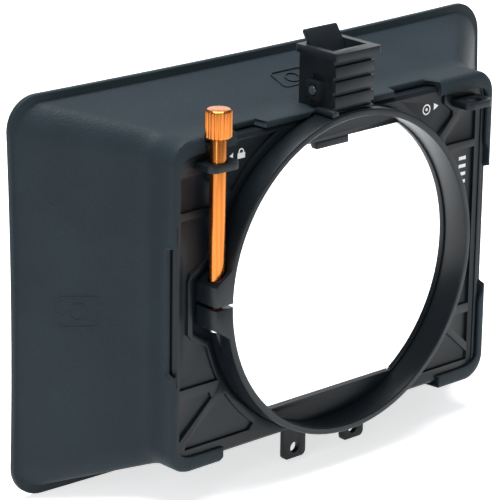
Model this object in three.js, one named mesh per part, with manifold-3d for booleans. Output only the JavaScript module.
// Clamp-on matte box: a flared rubber hood on a filter frame that a split ring holds on a lens
// barrel. Millimetres, +Z up, +Y towards the scene, +X to the right as seen from behind.
// The origin is the centre of the clamp ring's rear face, on the optical axis.

import * as THREE from 'three';
import { mergeVertices } from 'three/addons/utils/BufferGeometryUtils.js';
import Module from 'manifold-3d';

const wasm = await Module();
wasm.setup();

// ---------------------------------------------------------------- driving dimensions

const GAP = 0.3;                      // clearance between pieces that touch
const DEGREE = Math.PI / 180;
const FAR = 200;                      // past every face of the object

const LENS_RADIUS = 57;               // the ring grips a 114 mm lens barrel
const RING = {
  outer: LENS_RADIUS + 2.5,
  front: 10.6,
  chamfer: 0.4,
  sides: 96,
  splitLow: 0.3,
  splitHigh: 1.6,
};
const EAR = {
  outerX: -65,
  front: 10.6,
  height: 7,                          // of the outer face, measured from the split
  slope: 0.67,                        // rise of the end face towards the ring
  innerX: -55.5,
};

const FILTER = { halfWidth: 71.75, halfHeight: 50.8 };   // 4 x 5.65 inch filter
const FRAME = {
  halfWidth: 75.5,
  halfHeight: 57.25,
  corner: 6,
  chamfer: 1.2,                       // round its rear face
  rear: 9.3,
  webRear: 10.9,
  webFront: 15.2,
  front: 21,
  pocketDepth: 1.3,
};
// The window is a circle cut off flat above and below. It is wider in front of its edge.
const WINDOW = { radius: 56.6, halfHeight: 47.4, edge: 13, frontRadius: 60.5, frontHalfHeight: 49.6 };
const LUG = {
  x: 14.6,
  width: 10.6,
  rear: 13.2,
  front: 15.2,
  top: -52,
  bottom: -70.5,
  corner: 2,
  holeZ: -66.5,
  holeRadius: 2.1,
};

const HOOD = {
  halfWidth: 78,
  halfHeight: 60,
  corner: 9,
  sideRear: 11.2,                     // rear edge of the collar between the corner wraps
  topRear: 14.2,
  bottomRear: 15.6,
  neckEnd: 22,
  flareEnd: 50.9,
  rimFront: 53.4,
  rimHalfWidth: 113.4,
  rimHalfHeight: 72.4,
  rimCorner: 12,
  flangeSide: 1.8,                    // how far the rim stands out past the end of the flare
  flangeTop: 3,
  wall: 2.6,
  bowTop: 3.5,                        // how far the middle of the long rim edges sits back
  bowSide: 2,
};
const TONGUE = { rear: 9, left: -34.7, leftRoot: -35.7, right: 26.9, rightRoot: 29 };
const WRAP = {
  rear: 7.9,
  lipSide: 1.5,                       // how far it reaches over the rear face of the frame
  lipTop: 3.2,
  topX: 51,
  topRootX: 47.5,
  bottomX: 55.5,
  bottomRootX: 54,
  sideZ: 24,
  sideRootZ: 22.5,
};

// Half widths of the notches in the tongue for the latch, its feet and its pivot barrel.
const NOTCH = { latch: 9.7, foot: 14.7, footTop: 59.1, barrel: 12.5, barrelFront: 9.7 };

const SCREW = {
  x: -60.5,
  y: 5,
  rodRadius: 2.9,
  threadRadius: 1.9,
  tip: -9,
  shoulder: 7,
  knobRadius: 4.65,
  knobBottom: 59.8,
  knobTop: 70,
  knobChamfer: 0.8,
  flutes: 22,
  fluteDepth: 0.35,
  spigotRadius: 1.5,                  // of the rod's end inside the knob
  spigotLength: 6,
};
const WASHER = { inner: 2.2, outer: 3, bottom: 5.9, top: 6.7 };
const NUT = { inner: 2.15, outer: 2.8, bottom: -8.6, top: -1.2 };
const LOOP = { bottom: 49.2, top: 51.7, halfWidth: 6.6, corner: 3.1, holeRadius: 3.25 };
const AUX = { x: 63, y: 4.8 };

const LATCH = {
  halfWidth: 9.25,
  rear: 3.2,
  front: 20.4,
  bottom: FRAME.halfHeight + GAP,
  top: 79,
  innerHalfWidth: 8.1,
  innerRear: 5,
  innerFront: 19,
  ribDepth: 1.2,
  pivotY: 11.5,
  pivotZ: 66.4,
};

const LATCH_DETAIL = {
  ribs: [[LATCH.bottom, 60], [61.5, 65.3], [66.9, 70.6], [72.2, 76]],   // bottom and top of each
  rim: { halfWidth: 10.7, halfDepth: 10.35, corner: 0.8, y: 10.55, top: 81.2 },
  boss: { reach: 11.3, rear: 8.2, front: 14.6, bottom: 63, top: 69.6 },
  barrel: { radius: 1.5, rear: 0.4, front: 9.3, x: 10.4, z: 59.6, webRear: 2.5, webHalfHeight: 1.3 },
  foot: { halfWidth: 14.3, rear: 14, height: 1.2 },
  recess: { depth: 1, bottom: 61.6, top: 72, ledgeFront: 13.4 },
};
const PIN = { radius: 1.2, headRadius: 1.65, headInner: 10.6, headOuter: 11.5, end: 9.6 };

// ---------------------------------------------------------------- materials

const finish = (color, roughness, metalness) =>
  new THREE.MeshStandardMaterial({ color, roughness, metalness });

const RUBBER = finish('#3b474e', 0.85, 0);
const BLACK_NYLON = finish('#1c1f22', 0.6, 0);
const BLACK_ALUMINIUM = finish('#202427', 0.5, 0.4);
const ORANGE_ALUMINIUM = finish('#d8742c', 0.3, 0.9);
const STAINLESS = finish('#b9bcbf', 0.3, 1);
const SPRING_STEEL = finish('#8b8e91', 0.3, 1);
const FOAM = finish('#17181a', 0.95, 0);

// ---------------------------------------------------------------- solids from geometry

function signedVolume(positions, index) {
  const a = new THREE.Vector3();
  const b = new THREE.Vector3();
  const c = new THREE.Vector3();
  let sum = 0;
  for (let i = 0; i < index.length; i += 3) {
    a.fromArray(positions, 3 * index[i]);
    b.fromArray(positions, 3 * index[i + 1]);
    c.fromArray(positions, 3 * index[i + 2]);
    sum += a.dot(b.cross(c)) / 6;
  }
  return sum;
}

// A closed geometry as a manifold solid whose faces point out.
function solid(geometry) {
  geometry.deleteAttribute('normal');
  geometry.deleteAttribute('uv');
  const merged = mergeVertices(geometry, 1e-4);
  const vertProperties = new Float32Array(merged.attributes.position.array);
  const triVerts = new Uint32Array(merged.index.array);
  if (signedVolume(vertProperties, triVerts) < 0) triVerts.reverse();
  return new wasm.Manifold(new wasm.Mesh({ numProp: 3, vertProperties, triVerts }));
}

function geometryOf(body) {
  const { vertProperties, triVerts } = body.getMesh();
  const geometry = new THREE.BufferGeometry();
  geometry.setAttribute('position', new THREE.BufferAttribute(vertProperties, 3));
  geometry.setIndex(new THREE.BufferAttribute(triVerts, 1));
  geometry.computeVertexNormals();
  return geometry;
}

const mix = (from, to, t) => from + (to - from) * t;

const join = (first, ...others) => others.reduce((sum, other) => sum.add(other), first);
const cut = (first, ...others) => others.reduce((rest, other) => rest.subtract(other), first);

function box([x0, x1], [y0, y1], [z0, z1]) {
  const geometry = new THREE.BoxGeometry(x1 - x0, y1 - y0, z1 - z0);
  return solid(geometry.translate((x0 + x1) / 2, (y0 + y1) / 2, (z0 + z1) / 2));
}

// An outline in (x, z) pushed along Y.
function slabY(shape, y0, y1, curveSegments = 6) {
  const options = { depth: y1 - y0, bevelEnabled: false, curveSegments };
  return solid(new THREE.ExtrudeGeometry(shape, options).rotateX(Math.PI / 2).translate(0, y1, 0));
}

// An outline in (x, y) pushed along Z.
function slabZ(shape, z0, z1, curveSegments = 6) {
  const options = { depth: z1 - z0, bevelEnabled: false, curveSegments };
  return solid(new THREE.ExtrudeGeometry(shape, options).translate(0, 0, z0));
}

// An outline in (y, z) pushed along X.
function slabX(shape, x0, x1, curveSegments = 6) {
  const options = { depth: x1 - x0, bevelEnabled: false, curveSegments };
  const turn = new THREE.Matrix4().makeBasis(
    new THREE.Vector3(0, 1, 0), new THREE.Vector3(0, 0, 1), new THREE.Vector3(1, 0, 0));
  return solid(new THREE.ExtrudeGeometry(shape, options).applyMatrix4(turn).translate(x0, 0, 0));
}

function polygon(points) {
  return new THREE.Shape(points.map(([u, v]) => new THREE.Vector2(u, v)));
}

function roundedRect(halfU, halfV, radius, centreU = 0, centreV = 0) {
  const shape = new THREE.Shape();
  const u = halfU - radius;
  const v = halfV - radius;
  const corners = [[u, v, 0], [-u, v, 90], [-u, -v, 180], [u, -v, 270]];
  for (const [cornerU, cornerV, from] of corners) {
    shape.absarc(centreU + cornerU, centreV + cornerV, radius, from * DEGREE, (from + 90) * DEGREE);
  }
  return shape;
}

// Cylinders along each axis, from one end to the other.
function rodX(radius, x0, x1, y, z, sides = 24) {
  const geometry = new THREE.CylinderGeometry(radius, radius, x1 - x0, sides);
  return solid(geometry.rotateZ(Math.PI / 2).translate((x0 + x1) / 2, y, z));
}

function rodY(radius, y0, y1, x, z, sides = 24) {
  const geometry = new THREE.CylinderGeometry(radius, radius, y1 - y0, sides);
  return solid(geometry.translate(x, (y0 + y1) / 2, z));
}

function rodZ(radius, z0, z1, x, y, sides = 24) {
  const geometry = new THREE.CylinderGeometry(radius, radius, z1 - z0, sides);
  return solid(geometry.rotateX(Math.PI / 2).translate(x, y, (z0 + z1) / 2));
}

// A profile of [radius, height] points turned round a vertical axis through (x, y).
function turnedZ(profile, x, y, sides = 24) {
  const points = profile.map(([radius, height]) => new THREE.Vector2(radius, height));
  return solid(new THREE.LatheGeometry(points, sides).rotateX(Math.PI / 2).translate(x, y, 0));
}

// A profile of [radius, y] points turned round the axis along Y through (x, z).
function turnedY(profile, x = 0, z = 0, sides = 24) {
  const points = profile.map(([radius, depth]) => new THREE.Vector2(radius, depth));
  return solid(new THREE.LatheGeometry(points, sides).translate(x, 0, z));
}

// A rounded rectangle across the Y axis, as points for a loft.
function roundedSection(halfWidth, halfHeight, radius, y) {
  const corners = [[1, 1, 0], [-1, 1, 90], [-1, -1, 180], [1, -1, 270]];
  const arcSteps = 5;
  const sideSteps = 8;
  const onCorner = ([signX, signZ], degrees) => new THREE.Vector3(
    signX * (halfWidth - radius) + radius * Math.cos(degrees * DEGREE), y,
    signZ * (halfHeight - radius) + radius * Math.sin(degrees * DEGREE));
  return corners.flatMap((corner, k) => {
    const from = corner[2];
    const start = onCorner(corner, from + 90);
    const end = onCorner(corners[(k + 1) % 4], from + 90);
    const points = [];
    for (let i = 0; i <= arcSteps; i += 1) points.push(onCorner(corner, from + (90 * i) / arcSteps));
    for (let i = 1; i < sideSteps; i += 1) points.push(start.clone().lerp(end, i / sideSteps));
    return points;
  });
}

// A closed solid through cross-sections that have the same number of points.
function loft(sections) {
  const count = sections[0].length;
  const positions = sections.flat().flatMap(({ x, y, z }) => [x, y, z]);
  const index = [];
  for (let ring = 0; ring + 1 < sections.length; ring += 1) {
    for (let i = 0; i < count; i += 1) {
      const a = ring * count + i;
      const b = ring * count + ((i + 1) % count);
      index.push(a, b, b + count, a, b + count, a + count);
    }
  }
  const cap = (ring, flip) => {
    const section = sections[ring];
    const centre = section.reduce((sum, point) => sum.add(point), new THREE.Vector3());
    centre.divideScalar(count);
    const middle = positions.length / 3;
    positions.push(centre.x, centre.y, centre.z);
    for (let i = 0; i < count; i += 1) {
      const a = ring * count + i;
      const b = ring * count + ((i + 1) % count);
      index.push(...(flip ? [middle, b, a] : [middle, a, b]));
    }
  };
  cap(0, true);
  cap(sections.length - 1, false);
  const geometry = new THREE.BufferGeometry();
  geometry.setAttribute('position', new THREE.Float32BufferAttribute(positions, 3));
  geometry.setIndex(index);
  return solid(geometry);
}

// ---------------------------------------------------------------- scene graph

const matteBox = new THREE.Group();

function add(name, body, material) {
  const mesh = new THREE.Mesh(geometryOf(body), material);
  mesh.name = name;
  matteBox.add(mesh);
}

// ---------------------------------------------------------------- split clamp ring

const RING_SCREW = {
  radius: 58.25,
  angles: [57, 123, 237, 303],
  shank: 0.6,
  head: 1.7,
  rear: 6.4,
  neck: 11.9,
  shoulder: 12.6,
  front: 12.9,
};
const ringScrewPlaces = RING_SCREW.angles.map((angle) => [
  RING_SCREW.radius * Math.cos(angle * DEGREE), RING_SCREW.radius * Math.sin(angle * DEGREE)]);

function ear(splitFace, up) {
  const rise = EAR.slope * (EAR.innerX - EAR.outerX);
  return slabY(polygon([
    [EAR.outerX, splitFace], [EAR.outerX, splitFace + up * EAR.height],
    [EAR.innerX, splitFace + up * (EAR.height + rise)], [EAR.innerX, splitFace],
  ]), 0, EAR.front);
}

function clampRing() {
  const { outer, front, chamfer, splitLow, splitHigh, sides } = RING;
  const body = turnedY([
    [LENS_RADIUS + chamfer, 0], [outer - chamfer, 0], [outer, chamfer], [outer, front],
    [LENS_RADIUS, front], [LENS_RADIUS, chamfer], [LENS_RADIUS + chamfer, 0],
  ], 0, 0, sides);
  const ears = cut(join(ear(splitHigh, 1), ear(splitLow, -1)),
    rodY(LENS_RADIUS + chamfer, -1, EAR.front + 1, 0, 0, sides));
  const split = box([-FAR, EAR.innerX + 5], [-1, front + 1], [splitLow, splitHigh]);
  const screwHoles = ringScrewPlaces.map(([x, z]) =>
    rodY(RING_SCREW.shank + GAP, RING_SCREW.rear - GAP, front + 1, x, z, 12));
  const clearance = rodZ(SCREW.threadRadius + 0.4, -FAR, FAR, SCREW.x, SCREW.y);
  const counterbore = rodZ(SCREW.rodRadius + 0.4, WASHER.bottom - GAP, FAR, SCREW.x, SCREW.y);
  const nutPocket = rodZ(NUT.outer + GAP, -FAR, NUT.top + GAP, SCREW.x, SCREW.y);
  return cut(join(body, ears), split, clearance, counterbore, nutPocket, ...screwHoles);
}

// ---------------------------------------------------------------- clamp screw

const onScrewAxis = (profile, sides) => turnedZ(profile, SCREW.x, SCREW.y, sides);

function clampRod() {
  const { tip, shoulder, threadRadius, rodRadius, spigotRadius, knobBottom } = SCREW;
  const collar = knobBottom - GAP;
  const end = knobBottom + SCREW.spigotLength;
  return onScrewAxis([
    [0, tip], [threadRadius - 0.5, tip], [threadRadius, tip + 0.7], [threadRadius, shoulder],
    [rodRadius, shoulder], [rodRadius, collar], [spigotRadius, collar], [spigotRadius, end], [0, end],
  ], 28);
}

function clampKnob() {
  const { knobRadius, knobBottom, knobTop, knobChamfer, flutes, fluteDepth } = SCREW;
  const outline = new THREE.Shape();
  const stepsPerFlute = 4;
  for (let i = 0; i < flutes * stepsPerFlute; i += 1) {
    const angle = (2 * Math.PI * i) / (flutes * stepsPerFlute);
    const radius = knobRadius - (i % stepsPerFlute < stepsPerFlute / 2 ? 0 : fluteDepth);
    const x = SCREW.x + radius * Math.cos(angle);
    const y = SCREW.y + radius * Math.sin(angle);
    if (i === 0) outline.moveTo(x, y); else outline.lineTo(x, y);
  }
  const narrow = knobRadius - knobChamfer;
  const wide = knobRadius + 0.1;
  const chamfers = onScrewAxis([
    [0, knobBottom], [narrow, knobBottom], [wide, knobBottom + knobChamfer],
    [wide, knobTop - knobChamfer], [narrow, knobTop], [0, knobTop],
  ], 2 * flutes);
  const socketTop = knobBottom + SCREW.spigotLength + GAP;
  const socket = rodZ(SCREW.spigotRadius + GAP, knobBottom - 1, socketTop, SCREW.x, SCREW.y);
  return cut(slabZ(outline, knobBottom, knobTop).intersect(chamfers), socket);
}

const tubeOnScrewAxis = ({ inner, outer, bottom, top }) =>
  onScrewAxis([[inner, bottom], [outer, bottom], [outer, top], [inner, top], [inner, bottom]], 24);

// ---------------------------------------------------------------- filter frame

const PATTERN_RADIUS = 62.9;          // edge of the pockets that follow the ring
const SIDE_EDGE = 73.2;
const RIGHT_EDGE = 69.6;              // the pockets on the right stop short of a wider border

const onPatternArc = (z) => Math.sqrt(PATTERN_RADIUS ** 2 - z ** 2);

// The weight-saving pockets of the rear face, drawn for the right half.
function pocketOutlines() {
  const topZ = 55.5;
  const top = polygon([[onPatternArc(topZ), topZ], [53, topZ], [53, 50.5], [57.5, 47.2], [57.5, 45.2]]);
  top.lineTo(onPatternArc(37.9), 37.9);
  top.absarc(0, 0, PATTERN_RADIUS, Math.asin(37.9 / PATTERN_RADIUS), Math.asin(topZ / PATTERN_RADIUS));

  const upperSide = polygon([
    [60.8, 46.8], [SIDE_EDGE, 46.8], [SIDE_EDGE, 34.5], [54.6, 34.5], [53.6, 36.8], [60.8, 44]]);

  const side = polygon([[SIDE_EDGE, -29.3], [SIDE_EDGE, 31.7], [onPatternArc(31.7), 31.7]]);
  side.absarc(0, 0, PATTERN_RADIUS,
    Math.asin(31.7 / PATTERN_RADIUS), Math.asin(-29.3 / PATTERN_RADIUS), true);

  const lowerSide = polygon([
    [SIDE_EDGE, -32.8], [SIDE_EDGE, -48.4], [58.4, -35.2], [59.6, -32.8]]);

  const bottom = polygon([[55.4, -36], [70.6, -49.6], [70.6, -51.8], [40.5, -51.8]]);
  bottom.lineTo(onPatternArc(49.6), -49.6);
  bottom.absarc(0, 0, PATTERN_RADIUS,
    Math.asin(-49.6 / PATTERN_RADIUS), Math.asin(-35 / PATTERN_RADIUS));

  return { top, upperSide, side, lowerSide, bottom };
}

function mirrored(shape) {
  return polygon(shape.getPoints(6).map(({ x, y }) => [-x, y]).reverse());
}

// The recess for the ring's ears, and the outside of the raised border round it.
const EAR_RECESS = [
  [-67.6, 9], [-67.6, -9], [-66.8, -10.2], [-60.5, -13.9], [-56, -16.6], [-56, 17], [-64.8, 11.2],
  [-66.8, 10.5]];
const EAR_BORDER = [
  [-69.6, 9.6], [-69.6, -9.8], [-67.7, -11.8], [-61.3, -15.6], [-56, -18.8], [-56, 19.2],
  [-65.4, 13.1], [-68.4, 12]];
const TERRACE = { halfWidth: 72.6, halfHeight: 54, corner: 3, depth: 0.5 };

function pockets() {
  const outlines = pocketOutlines();
  const floor = FRAME.rear + FRAME.pocketDepth;
  const rightHalf = box([0, RIGHT_EDGE], [0, FRAME.front], [-FAR, FAR]);
  const cutters = [];
  for (const [name, outline] of Object.entries(outlines)) {
    cutters.push(slabY(outline, FRAME.rear - 1, floor).intersect(rightHalf));
    const left = slabY(mirrored(outline), FRAME.rear - 1, floor);
    cutters.push(name === 'side' ? cut(left, slabY(polygon(EAR_BORDER), 0, FRAME.front)) : left);
  }
  const terrace = cut(
    slabY(roundedRect(TERRACE.halfWidth, TERRACE.halfHeight, TERRACE.corner),
      FRAME.rear - 1, FRAME.rear + TERRACE.depth),
    box([-FAR, RIGHT_EDGE], [0, FRAME.front], [-FAR, FAR]));
  return [...cutters, terrace, slabY(polygon(EAR_RECESS), FRAME.rear - 1, FRAME.webRear)];
}

function ringSeat() {
  const y0 = FRAME.rear - 1;
  // The slot that lets the ends of the split ring flex is a crescent round the ears.
  const flexSlot = { radius: 48, offset: 13.6, angle: 200 * DEGREE };
  return join(
    rodY(RING.outer + 0.4, y0, FRAME.webRear, 0, 0, RING.sides),
    rodY(flexSlot.radius, y0, FRAME.webRear,
      flexSlot.offset * Math.cos(flexSlot.angle), flexSlot.offset * Math.sin(flexSlot.angle), 80));
}

const windowOpening = (radius, halfHeight, y0) => rodY(radius, y0, FRAME.front, 0, 0, RING.sides)
  .intersect(box([-FAR, FAR], [0, FAR], [-halfHeight, halfHeight]));

const LATCH_SCREW = { x: 11.9, y: 17, shank: 0.9, head: 1.8, tip: 53 };
const LEVER_SLOT = { halfWidth: 8.4, rear: 12.2, front: 18.9, bottom: 44 };
const FILTER_SPRING = { halfLength: 16, thickness: 0.4, y0: 16.8, y1: 19.6 };
const LOOP_TAB = { halfWidth: 4.5, front: 12.4, bottom: 49.8, top: 51.1 };
const SPRING_SEAT = { inner: 71, outer: 73.6, halfHeight: FILTER_SPRING.halfLength + 2 };
const GASKET = { thickness: 0.6, slotHalfWidth: LEVER_SLOT.halfWidth + 0.4 };

function filterFrame() {
  const { halfWidth, halfHeight, corner, rear, webRear, webFront, front } = FRAME;
  const outline = (inset, y) =>
    roundedSection(halfWidth - inset, halfHeight - inset, corner - inset, y);
  const outer = loft([outline(FRAME.chamfer, rear), outline(0, rear + FRAME.chamfer), outline(0, front)]);
  const filterPocket = slabY(
    roundedRect(FILTER.halfWidth + 0.6, FILTER.halfHeight + 0.6, 2.5), webFront, front + 1);
  const windowCut = join(
    windowOpening(WINDOW.radius, WINDOW.halfHeight, webRear - 1),
    windowOpening(WINDOW.frontRadius, WINDOW.frontHalfHeight, WINDOW.edge));
  const lugs = [-1, 1].map((side) => slabY(
    roundedRect(LUG.width / 2, (LUG.top - LUG.bottom) / 2, LUG.corner,
      side * LUG.x, (LUG.top + LUG.bottom) / 2), LUG.rear, LUG.front));
  const lugHoles = [-1, 1].map((side) =>
    rodY(LUG.holeRadius, LUG.rear - 1, LUG.front + 1, side * LUG.x, LUG.holeZ));
  const leverSlot = box([-LEVER_SLOT.halfWidth, LEVER_SLOT.halfWidth],
    [LEVER_SLOT.rear, LEVER_SLOT.front], [LEVER_SLOT.bottom, halfHeight + 1]);
  const latchScrewHoles = [-1, 1].map((side) => rodZ(
    LATCH_SCREW.shank + GAP, LATCH_SCREW.tip - 0.5, halfHeight + 1, side * LATCH_SCREW.x, LATCH_SCREW.y, 16));
  const ringScrewHoles = ringScrewPlaces.flatMap(([x, z]) => [
    rodY(RING_SCREW.shank + GAP, webRear - 1, webFront + 1, x, z, 12),
    rodY(RING_SCREW.head + GAP, RING_SCREW.neck - GAP, webFront + 1, x, z, 20)]);
  const springSeats = [-1, 1].map((side) => {
    const { inner, outer: wall, halfHeight: reach } = SPRING_SEAT;
    return box(side > 0 ? [inner, wall] : [-wall, -inner],
      [FILTER_SPRING.y0 - 0.5, FILTER_SPRING.y1 + 0.5], [-reach, reach]);
  });
  const tabSlots = [SCREW.x, AUX.x].map((x) => box(
    [x - LOOP_TAB.halfWidth - GAP, x + LOOP_TAB.halfWidth + GAP],
    [rear - 1, LOOP_TAB.front + GAP],
    [LOOP_TAB.bottom - GAP, LOOP_TAB.top + GAP]));
  return cut(join(outer, ...lugs), filterPocket, windowCut, ringSeat(), leverSlot, ...lugHoles,
    ...latchScrewHoles, ...ringScrewHoles, ...springSeats, ...tabSlots, ...pockets());
}

function guideLoop(x, y) {
  const { bottom, top, halfWidth, corner, holeRadius } = LOOP;
  const front = FRAME.rear - GAP;
  const outline = new THREE.Shape();
  outline.moveTo(x + halfWidth, front);
  outline.lineTo(x - halfWidth, front);
  outline.absarc(x - halfWidth + corner, corner, corner, Math.PI, 1.5 * Math.PI);
  outline.absarc(x + halfWidth - corner, corner, corner, 1.5 * Math.PI, 2 * Math.PI);
  const tab = box([x - LOOP_TAB.halfWidth, x + LOOP_TAB.halfWidth],
    [front - 0.5, LOOP_TAB.front], [LOOP_TAB.bottom, LOOP_TAB.top]);
  return cut(join(slabZ(outline, bottom, top), tab), rodZ(holeRadius, bottom - 1, top + 1, x, y, 32));
}

function filterSpring(side) {
  const { halfLength, thickness, y0, y1 } = FILTER_SPRING;
  const leaf = (offset) => new THREE.QuadraticBezierCurve(
    new THREE.Vector2(side * (73.2 - offset), -halfLength),
    new THREE.Vector2(side * (69.6 - offset), 0),
    new THREE.Vector2(side * (73.2 - offset), halfLength)).getPoints(12);
  const outline = [...leaf(0), ...leaf(thickness).reverse()].map(({ x, y }) => [x, y]);
  return slabY(polygon(outline), y0, y1);
}

function filterGasket() {
  const y0 = FRAME.webFront + GAP;
  const y1 = y0 + GASKET.thickness;
  const sheet = slabY(roundedRect(FILTER.halfWidth + 0.2, FILTER.halfHeight + 0.2, 2), y0, y1);
  const hole = windowOpening(WINDOW.frontRadius + GAP, WINDOW.frontHalfHeight + GAP, y0 - 1);
  const leverSlot = box([-GASKET.slotHalfWidth, GASKET.slotHalfWidth], [y0 - 1, y1 + 1], [0, FAR]);
  return cut(sheet, hole, leverSlot);
}

// ---------------------------------------------------------------- rubber hood

// A cross-section of the hood, set back in the middle. The bow is the share of the rim's bow that it has.
const hoodSection = (halfWidth, halfHeight, radius, y, bow) =>
  roundedSection(halfWidth, halfHeight, radius, y).map((point) => {
    const across = HOOD.bowTop * (1 - (point.x / halfWidth) ** 2);
    const upright = HOOD.bowSide * (1 - (point.z / halfHeight) ** 2);
    return point.setY(y - bow * (across + upright));
  });

// A cross-section of the flare, t from 0 at the neck to 1 where it meets the rim.
function flareSection(t, inset) {
  const { halfWidth, halfHeight, corner, neckEnd, flareEnd, rimCorner } = HOOD;
  return hoodSection(
    mix(halfWidth, HOOD.rimHalfWidth - HOOD.flangeSide, t) - inset,
    mix(halfHeight, HOOD.rimHalfHeight - HOOD.flangeTop, t) - inset,
    mix(corner, rimCorner, t) - 0.5 * inset,
    mix(neckEnd, flareEnd, t), t);
}

const rimSection = (y) => hoodSection(HOOD.rimHalfWidth, HOOD.rimHalfHeight, HOOD.rimCorner, y, 1);

// The parts of the collar that reach back round the frame: a tongue on top and four corners.
function collarReach() {
  const { halfWidth, halfHeight, corner, sideRear, topRear } = HOOD;
  const overlap = 0.5;
  const end = sideRear + overlap;
  const outer = roundedRect(halfWidth, halfHeight, corner);
  const sleeve = (rear, front) => cut(
    slabY(outer, rear, front),
    slabY(roundedRect(FRAME.halfWidth + GAP, FRAME.halfHeight + GAP, FRAME.corner), 0, FRAME.front));
  const lip = cut(
    slabY(outer, WRAP.rear, FRAME.rear - GAP),
    slabY(roundedRect(FRAME.halfWidth - WRAP.lipSide, FRAME.halfHeight - WRAP.lipTop, 5), 0, FRAME.rear));
  const tongue = slabZ(polygon([
    [TONGUE.left, TONGUE.rear], [TONGUE.right, TONGUE.rear],
    [TONGUE.rightRoot, topRear + overlap], [TONGUE.leftRoot, topRear + overlap]]), FRAME.halfHeight, FAR);
  const wrapped = join(sleeve(WRAP.rear, end), lip);
  const wrap = (signX, signZ) => {
    const [tipX, rootX] = signZ > 0 ? [WRAP.topX, WRAP.topRootX] : [WRAP.bottomX, WRAP.bottomRootX];
    const alongX = slabZ(polygon([
      [signX * tipX, WRAP.rear], [signX * FAR, WRAP.rear], [signX * FAR, end], [signX * rootX, end],
    ]), -FAR, FAR);
    const alongZ = slabX(polygon([
      [WRAP.rear, signZ * WRAP.sideZ], [WRAP.rear, signZ * FAR], [end, signZ * FAR],
      [end, signZ * WRAP.sideRootZ],
    ]), -FAR, FAR);
    return wrapped.intersect(alongX).intersect(alongZ);
  };
  return join(sleeve(TONGUE.rear, topRear + overlap).intersect(tongue),
    wrap(1, 1), wrap(-1, 1), wrap(-1, -1), wrap(1, -1));
}

function hood() {
  const { halfWidth, halfHeight, corner, sideRear, topRear, bottomRear, neckEnd, wall } = HOOD;
  const lipRear = FRAME.front + GAP;
  const lipFront = neckEnd + 0.8;
  const pastRim = 1.4;
  const throat = (y) => roundedSection(FRAME.halfWidth - 2.5, FRAME.halfHeight - 2.5, 7, y);
  const outer = loft([
    roundedSection(halfWidth, halfHeight, corner, sideRear),
    ...[0, 0.33, 0.67, 1].map((t) => flareSection(t, 0)),
    rimSection(HOOD.flareEnd), rimSection(HOOD.rimFront)]);
  const inner = loft([
    throat(lipRear - 1), throat(lipFront),
    ...[0.33, 0.67, 1, pastRim].map((t) => flareSection(t, wall))]);
  const frameSeat = slabY(
    roundedRect(FRAME.halfWidth + GAP, FRAME.halfHeight + GAP, FRAME.corner), 0, lipRear);
  const underFrame = box([-WRAP.bottomRootX, WRAP.bottomRootX], [0, bottomRear], [-FAR, -FRAME.halfHeight]);
  const overFrame = box([-WRAP.topRootX, WRAP.topRootX], [0, topRear], [FRAME.halfHeight, FAR]);
  const body = join(cut(outer, inner, underFrame, overFrame), collarReach());
  const low = FRAME.halfHeight - FRAME.corner;
  const latchFront = LATCH.front + 0.4;
  const ringClearance = rodY(RING.outer + 0.5, -1, FRAME.webRear, 0, 0, RING.sides);
  const latchNotch = box([-NOTCH.latch, NOTCH.latch], [0, latchFront], [low, FAR]);
  const barrelNotch = box([-NOTCH.barrel, 0], [0, NOTCH.barrelFront], [low, FAR]);
  const footNotch = box([-NOTCH.foot, NOTCH.foot], [0, latchFront], [low, NOTCH.footTop]);
  const knobNotch = rodZ(SCREW.knobRadius + 0.7, low, FAR, SCREW.x, SCREW.y, 32);
  return cut(body, frameSeat, ringClearance, latchNotch, barrelNotch, footNotch, knobNotch);
}

// ---------------------------------------------------------------- filter latch

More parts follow.
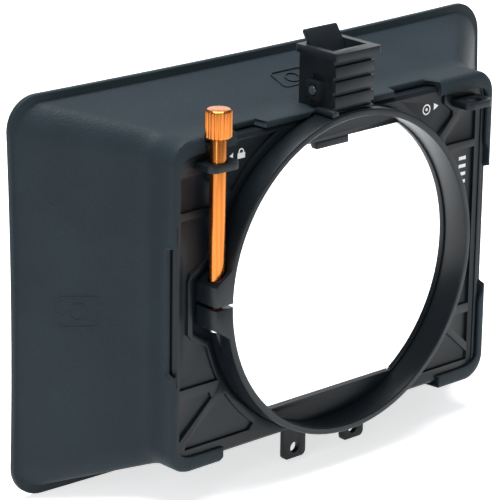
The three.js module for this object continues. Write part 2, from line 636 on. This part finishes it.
function latchHousing() {
  const { halfWidth, rear, front, bottom, top, innerHalfWidth, innerRear, innerFront, ribDepth } = LATCH;
  const { rim, boss, barrel, foot, recess } = LATCH_DETAIL;
  const intoShell = -halfWidth + 0.5;
  const shell = box([-halfWidth, halfWidth], [rear, front], [bottom, top]);
  const ribs = LATCH_DETAIL.ribs.map(([low, high]) =>
    box([-halfWidth, halfWidth], [rear - ribDepth, rear + 1], [low, high]));
  const rimBody = slabZ(
    roundedRect(rim.halfWidth, rim.halfDepth, rim.corner, 0, rim.y), top - 0.6, rim.top);
  const pivotBoss = box([-boss.reach, intoShell], [boss.rear, boss.front], [boss.bottom, boss.top]);
  const barrelBody = rodY(barrel.radius, barrel.rear, barrel.front, -barrel.x, barrel.z, 20);
  const barrelWeb = box([-barrel.x, intoShell], [barrel.webRear, barrel.front],
    [barrel.z - barrel.webHalfHeight, barrel.z + barrel.webHalfHeight]);
  const feet = box([-foot.halfWidth, foot.halfWidth], [foot.rear, front], [bottom, bottom + foot.height]);
  const well = box([-innerHalfWidth, innerHalfWidth], [innerRear, innerFront], [0, FAR]);
  const sidePocket = box([-FAR, -halfWidth + recess.depth], [rear + 1, boss.rear],
    [recess.bottom, recess.top]);
  const ledgePocket = box([-FAR, -halfWidth + recess.depth], [boss.rear - 0.2, recess.ledgeFront],
    [boss.top, recess.top]);
  const pivotHole = rodX(PIN.radius + GAP, -FAR, FAR, LATCH.pivotY, LATCH.pivotZ, 20);
  const headRecess = rodX(PIN.headRadius + 0.35, -FAR, -PIN.headInner + GAP, LATCH.pivotY, LATCH.pivotZ, 20);
  const ringClearance = rodY(RING.outer + 0.4, -1, FRAME.webRear, 0, 0, RING.sides);
  const overFeet = bottom + 4;
  const screwSeats = [-1, 1].flatMap((side) => [
    rodZ(LATCH_SCREW.shank + GAP, bottom - 1, overFeet, side * LATCH_SCREW.x, LATCH_SCREW.y, 16),
    rodZ(LATCH_SCREW.head + 0.2, bottom + 0.4, overFeet, side * LATCH_SCREW.x, LATCH_SCREW.y, 20)]);
  const shellWithPockets = cut(join(shell, ...ribs), sidePocket, ledgePocket);
  return cut(join(shellWithPockets, rimBody, pivotBoss, barrelBody, barrelWeb, feet),
    well, pivotHole, headRecess, ringClearance, ...screwSeats);
}

function latchLever() {
  const { pivotY, pivotZ } = LATCH;
  const halfWidth = 7.7;
  const hubRadius = 2.9;
  // From the toe inside the frame, up the front of the blade to the thumb tab, and down its rear.
  const outline = polygon([
    [12.3, 44.1], [14.9, 44.1], [15.6, 45], [15.6, 47.2], [15.2, 47.6], [15.2, 60],
    [14.1, 66.4], [14.9, 71], [17.5, 79.6], [20.9, 84.6], [20.9, 85.6], [20, 86], [19.2, 85.4],
    [15.9, 80.2], [13.2, 71.6], [9, 66.4], [10.4, 63.6], [13.4, 60], [13.4, 47.2], [12.3, 46.6]]);
  const blade = slabX(outline, -halfWidth, halfWidth);
  const hub = rodX(hubRadius, -halfWidth, halfWidth, pivotY, pivotZ, 24);
  const pinHole = rodX(PIN.radius + 0.35, -FAR, FAR, pivotY, pivotZ, 20);
  const springWell = box([-3.6, 3.6], [7, 14.5], [pivotZ - hubRadius - 0.4, pivotZ + hubRadius + 0.4]);
  const bladeWindow = box([-5, 5], [12, 16.5], [51, 58]);
  return cut(join(blade, hub), pinHole, springWell, bladeWindow);
}

// A torsion spring round the pivot pin, one leg on the lever and one on the rear wall.
function latchSpring() {
  const coilRadius = 2.25;
  const turns = 4;
  const halfLength = 2.4;
  const { pivotY, pivotZ } = LATCH;
  const stepsPerTurn = 12;
  const points = [new THREE.Vector3(halfLength, 11.6, pivotZ + 7)];
  for (let i = 0; i <= turns * stepsPerTurn; i += 1) {
    const angle = Math.PI + (2 * Math.PI * i) / stepsPerTurn;
    points.push(new THREE.Vector3(
      mix(halfLength, -halfLength, i / (turns * stepsPerTurn)),
      pivotY + coilRadius * Math.cos(angle), pivotZ + coilRadius * Math.sin(angle)));
  }
  points.push(new THREE.Vector3(-halfLength, 7.5, pivotZ - 4.4));
  const path = new THREE.CatmullRomCurve3(points, false, 'centripetal');
  const wire = new THREE.Shape();
  wire.absarc(0, 0, 0.3, 0, 2 * Math.PI);
  const options = { steps: 76, curveSegments: 3, bevelEnabled: false, extrudePath: path };
  return solid(new THREE.ExtrudeGeometry(wire, options));
}

function latchPin() {
  const { pivotY, pivotZ } = LATCH;
  return join(
    rodX(PIN.radius, -PIN.headInner - 0.4, PIN.end, pivotY, pivotZ, 20),
    rodX(PIN.headRadius, -PIN.headOuter, -PIN.headInner, pivotY, pivotZ, 20));
}

function latchScrew(side) {
  const { x, y, shank, head, tip } = LATCH_SCREW;
  const headTop = LATCH.bottom + LATCH_DETAIL.foot.height;
  return turnedZ([
    [0, tip], [shank, tip], [shank, headTop - 0.5], [head, headTop - 0.3], [head, headTop], [0, headTop],
  ], side * x, y, 16);
}

function ringScrew(x, z) {
  const { shank, head, rear, neck, shoulder, front } = RING_SCREW;
  return turnedY([
    [0, rear], [shank, rear], [shank, neck], [head, shoulder], [head, front], [0, front]], x, z, 16);
}

// ---------------------------------------------------------------- assembly

add('hood', hood(), RUBBER);
add('filter_frame', filterFrame(), BLACK_NYLON);
add('clamp_ring', clampRing(), BLACK_ALUMINIUM);
add('clamp_rod', clampRod(), ORANGE_ALUMINIUM);
add('clamp_knob', clampKnob(), ORANGE_ALUMINIUM);
add('clamp_washer', tubeOnScrewAxis(WASHER), STAINLESS);
add('clamp_nut', tubeOnScrewAxis(NUT), STAINLESS);
add('screw_guide_loop', guideLoop(SCREW.x, SCREW.y), BLACK_NYLON);
add('aux_port_loop', guideLoop(AUX.x, AUX.y), BLACK_NYLON);
add('latch_housing', latchHousing(), BLACK_NYLON);
add('latch_lever', latchLever(), BLACK_NYLON);
add('latch_pin', latchPin(), STAINLESS);
add('latch_spring', latchSpring(), SPRING_STEEL);
add('latch_screw_left', latchScrew(-1), STAINLESS);
add('latch_screw_right', latchScrew(1), STAINLESS);
ringScrewPlaces.forEach(([x, z], i) => add(`ring_screw_${i + 1}`, ringScrew(x, z), STAINLESS));
add('filter_spring_left', filterSpring(-1), SPRING_STEEL);
add('filter_spring_right', filterSpring(1), SPRING_STEEL);
add('filter_gasket', filterGasket(), FOAM);

export default matteBox;
